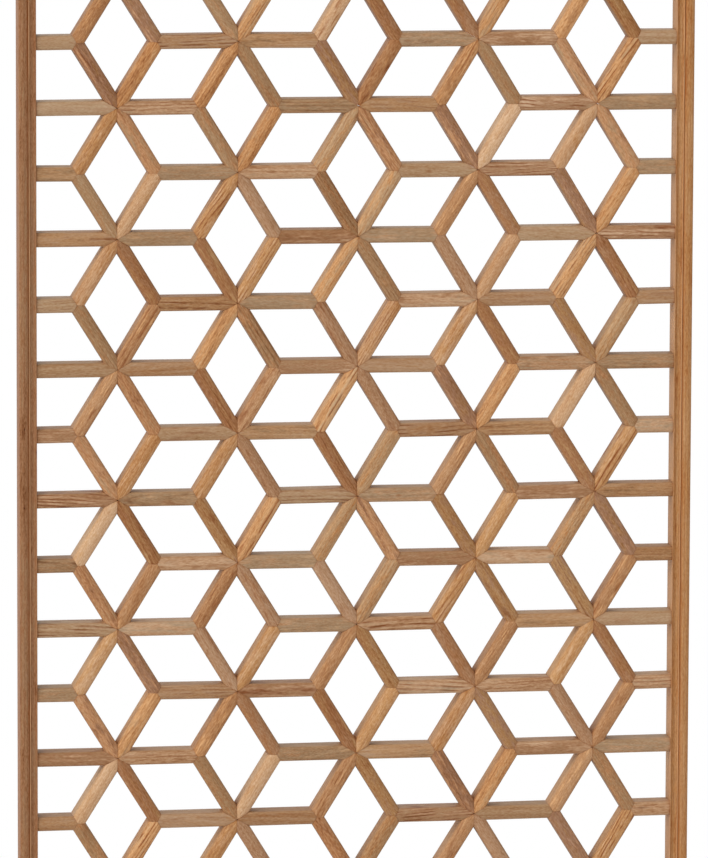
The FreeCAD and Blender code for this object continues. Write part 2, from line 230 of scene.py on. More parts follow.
def node_of(ends, step):
    """The name of the node that holds a strip."""
    course = (max(ends[0][1], ends[1][1]) + ROWS_PER_COURSE - 1) // ROWS_PER_COURSE
    return f"course_{course:02d}_{slope_of(step)}_strips"


def strip_list():
    """Each strip once: its two ends inside the frame, and its step."""
    strips = []
    for row in range(ROWS + 1):
        for column in range(1 - ODD_ROW_STAR, COLUMNS + ODD_ROW_STAR):
            if not is_star(column, row):
                continue
            for step in STAR_STEPS:
                if has_strip(column, row, step):
                    far = column + step[0]
                    ends = (min(max(column, 0), COLUMNS), row), (min(max(far, 0), COLUMNS), row + step[1])
                    strips.append((ends, step))
    return strips


def frame_direction(column, row):
    """The way out of the opening at a place on the frame, or None inside it."""
    for at_frame, angle in (
        (column == 0, math.pi),
        (column == COLUMNS, 0),
        (row == 0, -math.pi / 2),
        (row == ROWS, math.pi / 2),
    ):
        if at_frame:
            return heading(angle)
    return None


def end_cuts(end, own_step):
    """What cuts a strip's end, as (lean, gap, lightening): it starts at lean * across + gap from its knot.

    The third value is 1 in a corner beside a level strip, where painted light is laid over the corner.
    """
    own = angle_of(own_step)
    others = [step for step in STAR_STEPS if step != own_step and has_strip(*end, step)]
    cuts = []
    for side in (1, -1):
        gaps = [(((angle_of(step) - own) * side) % math.tau, step[1]) for step in others]
        gaps = [gap for gap in gaps if gap[0] < math.pi]
        if gaps:
            gap, rise = min(gaps)
            nook_lightening = 1 if rise == 0 or own_step[1] == 0 else 0
            cuts.append((side / math.tan(gap / 2), HALF_GLUE / math.sin(gap / 2), nook_lightening))
    outward = frame_direction(*end)
    if outward is not None:
        along = -heading(own).dot(outward)
        across = heading(own + math.pi / 2).dot(outward)
        cuts.append((across / along, HALF_GLUE / along, 0))
    return cuts


# Meshes with the surface's own wood coordinates

class WoodMesh:
    """Gathers the boards of one node, with three vectors at each point.

    timber: the place in the log that the board was sawn from, with the log's heart along X.
    board: the board's colour pick, its lightness and how strongly its rings show.
    The third: how much a point is sawn side face, how dark old oiling and painted shade make it, and how
    much rubbing and painted light pale it.
    """

    def __init__(self):
        self.points = []
        self.faces = []
        self.timber = []
        self.board = []
        self.marks = []

    def add(self, points, faces, timber, board, marks):
        first = len(self.points)
        self.points.extend(points)
        self.faces.extend(tuple(first + i for i in face) for face in faces)
        self.timber.extend(timber)
        self.board.extend([board] * len(points))
        self.marks.extend(marks)

    def make(self, name, material, node, slot):
        mesh = bpy.data.meshes.new(name)
        mesh.from_pydata(self.points, [], self.faces)
        piece = bpy.data.objects.new(name, mesh)
        bpy.context.scene.collection.objects.link(piece)
        write_vectors(mesh, self.timber, self.board, self.marks)
        finish_piece(piece, material, node)


def write_vectors(mesh, timber, board, marks):
    """Stores the wood coordinates on a mesh's points."""
    for name, rows in (("timber", timber), ("board", board), ("marks", marks)):
        store = mesh.attributes.new(name, "FLOAT_VECTOR", "POINT")
        store.data.foreach_set("vector", [value for row in rows for value in row])


def finish_piece(piece, material, node):
    """Smooths a wooden piece, dresses it and lets it stand for its node."""
    piece.data.shade_smooth()
    piece.data.set_sharp_from_angle(angle=math.radians(SHARP_ANGLE))
    piece.data.materials.append(material)
    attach(piece, "root")
    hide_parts(node)


def tube_faces(columns, around):
    """The faces between columns of points, where each column goes once round a section."""
    faces = []
    for i in range(columns - 1):
        for j in range(around):
            k = (j + 1) % around
            faces.append((i * around + j, i * around + k, (i + 1) * around + k, (i + 1) * around + j))
    return faces


def fading(distance, reach):
    """1 at no distance, and less as a bell over the reach."""
    return math.exp(-((distance / reach) ** 2))


def log_place(from_heart, lean):
    """A random place in a log, as the turn and offset that take board coordinates there."""
    turn = Matrix.Rotation(chance.uniform(0, math.tau), 3, "X")
    tilt = Matrix.Rotation(chance.gauss(0, lean), 3, "Y") @ Matrix.Rotation(chance.gauss(0, lean), 3, "Z")
    offset = Vector((chance.uniform(-LOG_HALF_LENGTH, LOG_HALF_LENGTH), chance.uniform(*from_heart), 0))
    return turn @ tilt * chance.uniform(*GRAIN_SCALE), offset


def palette_pick():
    """A board's place in its palette, near one of the palette's colours."""
    last = PALETTE_COLOURS - 1
    pick = chance.randrange(PALETTE_COLOURS) + chance.uniform(-PICK_SPREAD, PICK_SPREAD)
    return min(max(pick / last, 0), 1)


# Strips

def strip_section(tilt, lift):
    """The section of a strip: (across, depth, side share, rubbed share) all the way round."""
    half = STRIP_WIDTH / 2
    inner = half - ARRIS
    radius = (half ** 2 + STRIP_CROWN ** 2) / (2 * STRIP_CROWN)

    def dome(across):
        return CROWN_FRONT + lift + tilt * across + radius - math.sqrt(radius ** 2 - across ** 2)

    front = []
    for share in DOME_SHARES:
        paled = DOME_EDGE_RUB if abs(share) == 1 else 0
        front.append((inner * share, dome(inner * share), 0, paled))
    sides = []
    for side in (1, -1):
        shoulder = dome(side * half)
        down = []
        for turn, side_share, paled in ARRIS_TURNS:
            out = side * (inner + ARRIS * (2 * turn - turn ** 2))
            depth = (
                (1 - turn) ** 2 * dome(side * inner)
                + 2 * turn * (1 - turn) * shoulder
                + turn ** 2 * (shoulder + ARRIS)
            )
            down.append((out, depth, side_share, paled))
        down += [
            (side * half, shoulder + SIDE_FADE, 1, 0),
            (side * half, (shoulder + STRIP_BACK) / 2, 1, 0),
            (side * half, STRIP_BACK - BACK_ARRIS, 1, 0),
            (side * (half - BACK_ARRIS), STRIP_BACK, 1, 0),
        ]
        sides.append(down)
    return front + sides[0] + [(0, STRIP_BACK, 1, 0)] + sides[1][::-1]


def oil_shade_and_light(cuts, across, inset, side, low_share, star_share, from_knot):
    """How dark a point is, this far in from a strip's end, from old oiling at joints and round a star's
    middle and from painted shade in a sharp corner, and how much painted light pales it.
    """
    lean, _, nook_lightening = max(cuts, key=lambda cut: cut[0] * across + cut[1])
    sharpness = lean ** 2 / (1 + lean ** 2)
    joint = JOINT_SHADE * math.exp(-inset / JOINT_REACH)
    # At a square end against the frame: old oil in the joint and a painted contact shadow, heaviest on the
    # strip's lower part
    if sharpness < SQUARE_CUT:
        height_share = FRAME_JOINT_UPPER_SHARE + (1 - FRAME_JOINT_UPPER_SHARE) * low_share ** 2
        joint += FRAME_JOINT_SHADE * height_share * math.exp(-inset / FRAME_JOINT_REACH)
    # Side faces in a sharp corner get painted shade where shade falls, weaker beside a level strip, where
    # painted light is laid over them too
    corner = side * sharpness * math.exp(-inset / NOOK_REACH)
    nook_shade = corner * (LEVEL_NOOK_SHADE if nook_lightening else NOOK_SHADE)
    star = (1 - side) * STAR_SHADE * star_share * fading(from_knot, STAR_REACH)
    return min(joint + nook_shade + star, 1), LEVEL_NOOK_LIGHT * corner * nook_lightening


def add_strip(wood, ends, step):
    """One strip: its section carried from mitre to mitre, with a fine groove along each joint."""
    start, finish = knot(*ends[0]), knot(*ends[1])
    length = (finish - start).length
    along = heading(angle_of(step))
    across = heading(angle_of(step) + math.pi / 2)
    cuts_of_ends = end_cuts(ends[0], step), end_cuts(ends[1], (-step[0], -step[1]))
    star_shares = [chance.uniform(LEAST_STAR_SHARE, 1) if is_star(*end) else 0 for end in ends]
    section = strip_section(chance.uniform(-DOME_TILT, DOME_TILT), chance.uniform(-1, 1) * CROWN_UNEVEN)
    wave_seed = chance.uniform(0, PLANE_WAVE_SEEDS)
    slips = [chance.uniform(-1, 1) * SIDE_SLIP for _ in ends]
    to_log, log_offset = log_place(STRIP_FROM_HEART, STRIP_LEAN)

    def end_column(end, inset):
        """The points a little in from an end, as (along, across, groove depth, darkening, lightening):
        darkening by old oiling and painted shade, lightening by painted light.
        """
        turned = 1 - 2 * end
        cuts = cuts_of_ends[end]
        column = []
        for v, _, side, _ in section:
            v_here = v + slips[end]
            u = max(lean * v_here * turned + gap + inset * math.hypot(1, lean) for lean, gap, _ in cuts)
            low_share = min(max(-across.z * v_here / (STRIP_WIDTH / 2), 0), 1)
            from_knot = math.hypot(u, v_here)
            brown, nook_lightening = oil_shade_and_light(cuts, v_here * turned, inset, side, low_share, star_shares[end], from_knot)
            groove = JOINT_GROOVE * math.exp(-inset / JOINT_REACH)
            column.append((length - u if end else u, v_here, groove, brown, nook_lightening))
        return column

    near_columns = [end_column(0, inset) for inset in END_INSETS]
    far_columns = [end_column(1, inset) for inset in reversed(END_INSETS)]
    middle_columns = []
    middle_count = max(2, round(length / COLUMN_SPACING))
    for i in range(1, middle_count):
        share = i / middle_count
        middle_columns.append([
            tuple(a + (b - a) * share for a, b in zip(near, far))
            for near, far in zip(near_columns[-1], far_columns[0])
        ])
    columns = near_columns + middle_columns + far_columns

    points, timber, marks = [], [], []
    for column in columns:
        for (u, v, groove, brown, nook_lightening), (_, depth, side, paled) in zip(column, section):
            patch = Vector((u / PLANE_WAVE_LENGTH, v / PLANE_WAVE_LENGTH, wave_seed))
            y = depth + (1 - side) * (groove + PLANE_WAVE * noise.noise(patch))
            points.append(start + along * u + across * v + Vector((0, y, 0)))
            timber.append(to_log @ Vector((u, v, y)) + log_offset)
            # The last value is the rubbed arris plus painted light in corners beside a level strip; brown
            # is old oil plus painted shade
            marks.append((side, brown, paled * (1 - brown) + nook_lightening))

    # Each end is closed by two faces that meet at the crown and at the middle of the back
    around = len(section)
    faces = tube_faces(len(columns), around)
    crown = DOME_SHARES.index(0)
    back = crown + around // 2
    last = (len(columns) - 1) * around
    for half_ring in (range(crown, back + 1), range(back, crown + around + 1)):
        ring = [i % around for i in half_ring]
        faces.append(tuple(reversed(ring)))
        faces.append(tuple(last + i for i in ring))
    pick = palette_pick()
    lightness = min(max(chance.gauss(0.5, LIGHTNESS_SPREAD), 0), 1)
    rings = RING_SHOW[slope_of(step)] * (RING_LEAST + RING_SPREAD * chance.random() ** 2)
    wood.add(points, faces, timber, (pick, lightness, rings), marks)


def build_lattice(materials):
    """All strips, gathered by node."""
    woods = {}
    for ends, step in strip_list():
        key = node_of(ends, step), slope_of(step)
        add_strip(woods.setdefault(key, WoodMesh()), ends, step)
    for (node, slope), wood in woods.items():
        wood.make(f"{node}_planed", materials[slope], node, f"lattice_wood_{slope}")


# Frame

def arc_points(start, middle, end, count):
    """Points along the circle through three points of a section, ends included."""
    (ax, ay), (bx, by), (cx, cy) = start, middle, end
    d = 2 * (ax * (by - cy) + bx * (cy - ay) + cx * (ay - by))
    a2, b2, c2 = ax ** 2 + ay ** 2, bx ** 2 + by ** 2, cx ** 2 + cy ** 2
    ox = (a2 * (by - cy) + b2 * (cy - ay) + c2 * (ay - by)) / d
    oy = (a2 * (cx - bx) + b2 * (ax - cx) + c2 * (bx - ax)) / d
    radius = math.hypot(ax - ox, ay - oy)
    first, last = math.atan2(ay - oy, ax - ox), math.atan2(cy - oy, cx - ox)
    turn = (last - first + math.pi) % math.tau - math.pi
    angles = [first + turn * i / (count - 1) for i in range(count)]
    return [(ox + radius * math.cos(a), oy + radius * math.sin(a)) for a in angles]


def frame_section():
    """The moulded section: (inwards, depth from the front), from the band all the way round."""
    lip = BAND_WIDTH + QUIRK_WIDTH
    soft = FRAME_ARRIS
    cove_middle = (lip + FRAME_WIDTH) / 2, (BAND_RISE + INNER_ARRIS_SETBACK) / 2 + COVE_SAG
    band = arc_points((0, BAND_RISE), (BAND_WIDTH / 2, 0), (BAND_WIDTH, BAND_RISE), BAND_POINTS)
    cove = arc_points((lip, BAND_RISE), cove_middle, (FRAME_WIDTH, INNER_ARRIS_SETBACK), COVE_POINTS)
    quirk = [
        (BAND_WIDTH - 0.2 * soft, BAND_RISE - 0.1 * soft),
        (BAND_WIDTH + 0.1 * QUIRK_WIDTH, BAND_RISE + 0.5 * QUIRK_DEPTH),
        (BAND_WIDTH + 0.45 * QUIRK_WIDTH, BAND_RISE + QUIRK_DEPTH),
    ]
    inner = [
        (FRAME_WIDTH - 0.8 * soft, INNER_ARRIS_SETBACK - 0.3 * soft),
        (FRAME_WIDTH - 0.2 * soft, INNER_ARRIS_SETBACK + 0.2 * soft),
        (FRAME_WIDTH, INNER_ARRIS_SETBACK + soft),
        (FRAME_WIDTH, INNER_ARRIS_SETBACK + 4 * soft),
        (FRAME_WIDTH, FRAME_DEPTH / 2),
        (FRAME_WIDTH, FRAME_DEPTH - soft),
        (FRAME_WIDTH - soft, FRAME_DEPTH),
        (FRAME_WIDTH / 2, FRAME_DEPTH),
    ]
    outer = [
        (soft, FRAME_DEPTH),
        (0, FRAME_DEPTH - soft),
        (0, FRAME_DEPTH / 2),
        (0, BAND_RISE + 2 * soft),
        (0.15 * soft, BAND_RISE + 0.6 * soft),
        (0.7 * soft, BAND_RISE - 0.1 * soft),
    ]
    # The arris takes the place of the band's first two points, and the quirk's edge of its last
    return band[2:-1] + quirk + cove[:-1] + inner + outer


def frame_marks(inwards, depth, along_strength):
    """How a place of the moulding is marked, as (0, painted shade, rubbing and painted light), because no
    face of it is left sawn.
    """
    side = min(max((depth - INNER_ARRIS_SETBACK) / (3 * FRAME_ARRIS), 0), 1)
    inner = side if inwards > FRAME_WIDTH - 2 * FRAME_ARRIS else 0
    outer = side if inwards < FRAME_ARRIS else 0
    in_hollow = FRAME_ARRIS < inwards < FRAME_WIDTH - 2 * FRAME_ARRIS and depth < FRAME_DEPTH / 2
    front = 1 if in_hollow else 1 - side
    lip = LIP_RUB_AND_HIGHLIGHT * fading(inwards - BAND_WIDTH - LIP_QUIRK_SHARE * QUIRK_WIDTH, LIP_REACH)
    quirk = QUIRK_SHADE * fading(inwards - BAND_WIDTH - QUIRK_SHADE_SHARE * QUIRK_WIDTH, QUIRK_SHADE_REACH)
    cove = COVE_SHADE * fading(inwards - FRAME_WIDTH + COVE_SHADE_INSET, COVE_SHADE_REACH)
    # Painted shade: the quirk and the cove are darkened where shade falls in them, and the outer sides are
    # darkened evenly
    painted_shade = (quirk + cove) * front * along_strength + OUTER_SIDE_SHADE * outer
    # The lip is rubbed pale and carries a painted highlight, and the inner sides are paled as painted light
    rub_and_light = (lip * front + INNER_SIDE_LIGHT * inner) * along_strength
    return 0, painted_shade, rub_and_light


def prism(outline, low, high):
    """A throwaway solid over an outline of (x, z) points, between two depths, for cutting."""
    count = len(outline)
    points = [(x, low, z) for x, z in outline] + [(x, high, z) for x, z in outline]
    faces = [tuple(range(count)), tuple(reversed(range(count, 2 * count)))]
    for i in range(count):
        j = (i + 1) % count
        faces.append((j, i, count + i, count + j))
    mesh = bpy.data.meshes.new("cutter")
    mesh.from_pydata(points, [], faces)
    mesh.validate()
    area = sum(a[0] * b[1] - b[0] * a[1] for a, b in zip(outline, outline[1:] + outline[:1]))
    if area < 0:
        mesh.flip_normals()
    cutter = bpy.data.objects.new("cutter", mesh)
    bpy.context.scene.collection.objects.link(cutter)
    return cutter


def cut_away(piece, cutters):
    """Cuts each throwaway solid out of a piece, one after the other."""
    for cutter in cutters:
        boolean = piece.modifiers.new("cut", "BOOLEAN")
        boolean.operation = "DIFFERENCE"
        boolean.solver = "EXACT"
        boolean.object = cutter
    bpy.context.view_layer.update()
    evaluated = piece.evaluated_get(bpy.context.evaluated_depsgraph_get())
    whole = bpy.data.meshes.new_from_object(evaluated)
    piece.modifiers.clear()
    piece.data = whole
    for cutter in cutters:
        bpy.data.objects.remove(cutter)


def corner_outline(side, level, distances_in):
    """(x, z) points at a corner, from distances in along the rail and along the stile."""
    outline = []
    for in_x, in_z in distances_in:
        x = side * (PANEL_HIGH.x - in_x)
        z = PANEL_LOW.z + in_z if level < 0 else PANEL_HIGH.z - in_z
        outline.append((x, z))
    return outline


def round_ended(x, low_z, high_z, radius):
    """The outline of an upright slot with round ends, between the centres of its ends."""
    outline = []
    for centre, first in ((high_z, 0), (low_z, math.pi)):
        for i in range(ROUND_END_STEPS + 1):
            angle = first + math.pi * i / ROUND_END_STEPS
            outline.append((x + radius * math.cos(angle), centre + radius * math.sin(angle)))
    return outline


def stile_cutters(side):
    """The corners that the rails take from a stile, its peg holes and its hanger's seat."""
    front, back = PANEL_LOW.y, PANEL_HIGH.y
    near, far = -OVERRUN, FRAME_WIDTH + OVERRUN
    cutters = []
    for level in (-1, 1):
        wedge = corner_outline(
            side, level, [(near, near + MITRE_GAP), (near, near), (far, near), (far, far + MITRE_GAP)]
        )
        cutters.append(prism(wedge, front - OVERRUN, front + MITRE_DEPTH))
        peg_x = side * (PEG_HIGH.x - PEG_RADIUS)
        peg_z = PEG_LOW.z + PEG_RADIUS if level < 0 else PEG_HIGH.z - PEG_RADIUS
        cutters.append(prism(round_ended(peg_x, peg_z, peg_z, PEG_RADIUS), PEG_LOW.y, back + OVERRUN))
    plate_x = side * (PLATE_LOW.x + PLATE_HIGH.x) / 2
    half_width = (PLATE_HIGH.x - PLATE_LOW.x) / 2
    seat = round_ended(
        plate_x, PLATE_LOW.z + half_width, PLATE_HIGH.z - half_width, half_width + PLATE_CLEARANCE
    )
    cutters.append(prism(seat, PLATE_LOW.y, back + OVERRUN))
    mouth = (PLATE_LOW.z + PLATE_HIGH.z) / 2 - KEYHOLE_DROP
    pocket = round_ended(plate_x, mouth, mouth + KEYHOLE_TRAVEL, KEYHOLE_RADIUS + POCKET_MARGIN)
    cutters.append(prism(pocket, PLATE_LOW.y - POCKET_DEPTH, back + OVERRUN / 2))
    return cutters


def rail_cutters(level):
    """The mitres in front and the square shoulders behind, at both ends of a rail."""
    front, back = PANEL_LOW.y, PANEL_HIGH.y
    near, far = -OVERRUN, FRAME_WIDTH + OVERRUN
    cutters = []
    for side in (-1, 1):
        wedge = corner_outline(side, level, [(near, near), (far, far), (near, far)])
        cutters.append(prism(wedge, front - OVERRUN, front + MITRE_DEPTH))
        square = corner_outline(
            side, level, [(near, near), (FRAME_WIDTH, near), (FRAME_WIDTH, far), (near, far)]
        )
        cutters.append(prism(square, front + MITRE_DEPTH, back + OVERRUN))
    return cutters


def frame_member(node, material, corner, inward, along, length, cutters):
    """A moulded member of the frame, cut at its ends, with its own long grain."""
    section = frame_section()
    around = len(section)
    count = round(length / FRAME_SPACING)
    points = []
    for i in range(count + 1):
        for inwards, depth in section:
            points.append(corner + inward * inwards + along * (length * i / count) + Vector((0, depth, 0)))
    faces = tube_faces(count + 1, around)
    faces.append(tuple(reversed(range(around))))
    faces.append(tuple(count * around + j for j in range(around)))
    if inward.cross(along).y > 0:
        faces = [tuple(reversed(face)) for face in faces]
    mesh = bpy.data.meshes.new(node)
    mesh.from_pydata(points, [], faces)
    piece = bpy.data.objects.new(f"{node}_moulded", mesh)
    bpy.context.scene.collection.objects.link(piece)
    cut_away(piece, cutters)

    to_log, log_offset = log_place(MEMBER_FROM_HEART, MEMBER_LEAN)
    timber, marks = [], []
    for vertex in piece.data.vertices:
        local = vertex.co - corner
        inwards, depth, run = local.dot(inward), local.y, local.dot(along)
        timber.append(to_log @ Vector((run, inwards, depth)) + log_offset)
        patch = Vector((run / MARK_LENGTH, corner.x * MARK_SEED, corner.z * MARK_SEED))
        marks.append(frame_marks(inwards, depth, 1 + MARK_UNEVEN * noise.noise(patch)))
    board = [(palette_pick(), MEMBER_LIGHTNESS, MEMBER_RINGS)] * len(timber)
    write_vectors(piece.data, timber, board, marks)
    finish_piece(piece, material, node)


def build_frame(materials):
    """Two stiles from the floor to the top, and two rails between their mitres."""
    up, right = Vector((0, 0, 1)), Vector((1, 0, 0))
    height = PANEL_HIGH.z - PANEL_LOW.z
    width = PANEL_HIGH.x - PANEL_LOW.x
    front = PANEL_LOW.y
    for side, name in ((-1, "left"), (1, "right")):
        corner = Vector((side * PANEL_HIGH.x, front, PANEL_LOW.z))
        frame_member(
            f"{name}_stile", materials[f"{name}_stile"], corner, -side * right, up,
            height, stile_cutters(side),
        )
    for level, name, z in ((-1, "bottom", PANEL_LOW.z), (1, "top", PANEL_HIGH.z)):
        corner = Vector((PANEL_LOW.x, front, z))
        frame_member(
            f"{name}_rail", materials["rails"], corner, -level * up, right, width,
            rail_cutters(level),
        )


# Materials

# Sockets of the Mix node when it mixes colours
MIX_FACTOR, MIX_A, MIX_B, MIX_RESULT = 0, 6, 7, 2

# Old softwood: the length and width in millimetres of one patch of each pattern along the grain, and its
# detail. Real fibres and flecks of resin are too fine to show, so they are drawn as coarse as they need.
FIBRES = 9, 1.4, 2
STREAKS = 90, 3.0, 2
FLECKS = 3.4, 0.95, 1
STAINS = 20, 7, 2
LONG_SHADES = 150, 25, 1
RING_WANDERS = 60, 12, 2

# Growth rings: pale early wood that darkens into late wood, and shows in patches of a board
RING_WIDTH_MM = 3.3
RING_WANDER_MM = 4.5
RING_PROFILE = [(0, "#707070"), (0.12, "#202020"), (0.5, "#000000"), (0.88, "#ffffff"), (1, "#707070")]
RING_PATCH_FROM, RING_PATCH_TO = 0.4, 0.6
LATE_WOOD_TINT = "#b98f6c"

# Pin knots, longer along the grain, where their pattern's scale is only a share of the scale across it
KNOT_SPACING_MM, KNOT_RADIUS_MM, KNOT_CORE_SHARE = 28, 2.2, 0.02
KNOT_ALONG_SHARE = 0.6
KNOT_DARKNESS = 0.75
KNOT_COLOUR = "#8a5a35"

# What age and use do to the colour. Red, green and blue darken by these powers of the wood's tone, so
# the darker the grain is, the redder it looks. The oil brown is old oil on joints and round stars' middles,
# and also painted shade in sharp corners, in the frame's hollows, on its outer sides and as a contact
# shadow at the frame; the pale colour is rubbed arrises, and also painted light and highlights beside level
# strips, on the frame's lips and its inner sides; the last number is how far one unit of rubbing or painted
# light pales the wood.
WOOD_TONE = 0.985
DARKENING_POWERS = 0.62, 1.0, 1.45
SAWN_SIDE_TINT = "#f5f9f7"
OLD_OIL_AND_SHADE = "#8c4b19"
RUB_AND_LIGHT_COLOUR = "#d2a67c"
RUB_AND_LIGHT_COVER = 0.1

# Surface of dry, planed softwood
SOFTWOOD_IOR = 1.5
SOFTWOOD_SHEEN = 0.12
SOFTWOOD_ROUGHNESS, FIBRE_ROUGHNESS = 0.42, 0.25
RELIEF_MM, RELIEF_STRENGTH, FIBRE_RELIEF = 0.15, 0.4, 0.6

# Whittled pegs and zinc-plated hangers
PEG_RING_MM = 0.8
PEG_RINGS = [(0.3, "#7d5a38"), (0.55, "#a57f55"), (0.8, "#b9946a")]
PEG_ROUGHNESS = 0.7
PEG_RELIEF_MM, PEG_RELIEF_STRENGTH = 0.2, 0.4
PLATE_SCRATCH_MM, SCREW_SCRATCH_MM = 0.4, 0.15
SCRATCH_STRETCH = 20
ZINC_CLOUD_MM = 9
ZINC_CLOUD = [(0.3, "#9b9a94"), (0.7, "#bdb9ad")]
ZINC_ROUGHNESS, SCRATCH_ROUGHNESS = 0.25, 0.3

# Each wood: its palette, its tones and its drifts, as oiled_softwood says. The level, rising and falling
# strips
# are one wood in three lit copies: the rising palette is painted lighter and the falling one darker, as
# painted light for the sheen that light from the upper left raises where the fibres run across it.
STRIP_DRIFTS = 0.45, 0.3, 0.3, 0.4
STILE_DRIFTS = 0.9, 1.2, 0.8, 0.9
RIGHT_STILE_TONES = 0.7, 0.85, 0.9, 0.75, 0.9, 0.1
WOODS = {
    "level": (
        ["#a98a6a", "#9b7251", "#b7916f", "#96795b", "#aa825c", "#a27e5e"],
        (0.4, 0.85, 0.8, 0.3, 0.3, 0.35), STRIP_DRIFTS,
    ),
    "rising": (
        ["#c59f7b", "#b28151", "#bb916b", "#a67851", "#c39060", "#aa8560"],
        (0.4, 0.95, 1.1, 0.35, 0.3, 0.35), STRIP_DRIFTS,
    ),
    "falling": (
        ["#a78263", "#966641", "#a2794f", "#90694f", "#b18058", "#967351"],
        (0.4, 0.75, 1.25, 0.35, 0.3, 0.35), STRIP_DRIFTS,
    ),
    "left_stile": (
        ["#977051", "#946948", "#8c6645", "#845b3c", "#895e3f", "#916945"],
        (1.0, 1.1, 1.15, 1.3, 0.9, 0.1), STILE_DRIFTS,
    ),
    "right_stile": (
        ["#b68451", "#ad7944", "#9a6635", "#a87345", "#b17f4e", "#a6774c"],
        RIGHT_STILE_TONES, STILE_DRIFTS,
    ),
    "rails": (
        ["#9f7148", "#9b6b44", "#a3744a", "#986a45", "#a07047", "#9d6f48"],
        RIGHT_STILE_TONES, STILE_DRIFTS,
    ),
}


def linear(hex_colour):
    """A colour written as sRGB hex, as Blender's linear values."""
    channels = [int(hex_colour[i:i + 2], 16) / 255 for i in (1, 3, 5)]
    return (*(c / 12.92 if c <= 0.04045 else ((c + 0.055) / 1.055) ** 2.4 for c in channels), 1)


def add_node(tree, kind, settings=None, inputs=None, stops=None):
    """Adds a node with its settings, its inputs as values or links, and a ramp's (place, colour) stops."""
    node = tree.nodes.new(kind)
    for name, value in (settings or {}).items():
        setattr(node, name, value)
    for name, value in (inputs or {}).items():
        if isinstance(value, bpy.types.NodeSocket):
            tree.links.new(value, node.inputs[name])
        else:
            node.inputs[name].default_value = value
    if stops:
        elements = node.color_ramp.elements
        elements.remove(elements[-1])
        elements[0].position = stops[0][0]
        elements[0].color = linear(stops[0][1])
        for place, colour in stops[1:]:
            elements.new(place).color = linear(colour)
    return node


def new_material(name):
    """An empty material with its shader and output: (material, tree, shader)."""
    material = bpy.data.materials.new(name)
    material.use_nodes = True
    tree = material.node_tree
    tree.nodes.clear()
    shader = add_node(tree, "ShaderNodeBsdfPrincipled")
    add_node(tree, "ShaderNodeOutputMaterial", {}, {"Surface": shader.outputs[0]})
    return material, tree, shader


def grained_noise(tree, timber, length_mm, width_mm, detail):
    """A pattern drawn out along the grain, from the length and width of one patch of it."""
    scale = (1 / (length_mm * MM), 1 / (width_mm * MM), 1 / (width_mm * MM))
    stretched = add_node(tree, "ShaderNodeVectorMath", {"operation": "MULTIPLY"}, {0: timber, 1: scale})
    return add_node(
        tree, "ShaderNodeTexNoise", {}, {"Vector": stretched.outputs[0], "Scale": 1.0, "Detail": detail}
    ).outputs[0]


def moved_by_patterns(tree, value, patterns, strengths, clamped):
    """A value that patterns raise and lower, each as far as its strength says."""
    for pattern, strength in zip(patterns, strengths):
        move = add_node(
            tree, "ShaderNodeMath", {"operation": "MULTIPLY_ADD"},
            {0: pattern, 1: strength, 2: -strength / 2},
        )
        value = add_node(
            tree, "ShaderNodeMath", {"operation": "ADD", "use_clamp": clamped},
            {0: value, 1: move.outputs[0]},
        ).outputs[0]
    return value


def late_wood(tree, timber):
    """How far each place is into the dark late wood of its growth ring, round the log's heart."""
    cross = add_node(tree, "ShaderNodeVectorMath", {"operation": "MULTIPLY"}, {0: timber, 1: (0, 1, 1)})
    from_heart = add_node(tree, "ShaderNodeVectorMath", {"operation": "LENGTH"}, {0: cross.outputs[0]})
    wandering = add_node(
        tree, "ShaderNodeMath", {"operation": "MULTIPLY_ADD"},
        {
            0: grained_noise(tree, timber, *RING_WANDERS),
            1: RING_WANDER_MM * MM,
            2: from_heart.outputs["Value"],
        },
    )
    count = add_node(
        tree, "ShaderNodeMath", {"operation": "DIVIDE"}, {0: wandering.outputs[0], 1: RING_WIDTH_MM * MM}
    )
    phase = add_node(tree, "ShaderNodeMath", {"operation": "FRACT"}, {0: count.outputs[0]})
    return add_node(tree, "ShaderNodeValToRGB", {}, {0: phase.outputs[0]}, RING_PROFILE).outputs[0]


def pin_knots(tree, timber):
    """How dark a small knot makes each place."""
    across = 1 / (KNOT_SPACING_MM * MM)
    place = add_node(
        tree, "ShaderNodeVectorMath", {"operation": "MULTIPLY"},
        {0: timber, 1: (KNOT_ALONG_SHARE * across, across, across)},
    )
    knots = add_node(tree, "ShaderNodeTexVoronoi", {}, {"Vector": place.outputs[0], "Scale": 1.0})
    return add_node(
        tree, "ShaderNodeMapRange", {},
        {
            "Value": knots.outputs["Distance"],
            "From Min": KNOT_CORE_SHARE,
            "From Max": KNOT_RADIUS_MM / KNOT_SPACING_MM,
            "To Min": KNOT_DARKNESS,
            "To Max": 0.0,
        },
    ).outputs[0]


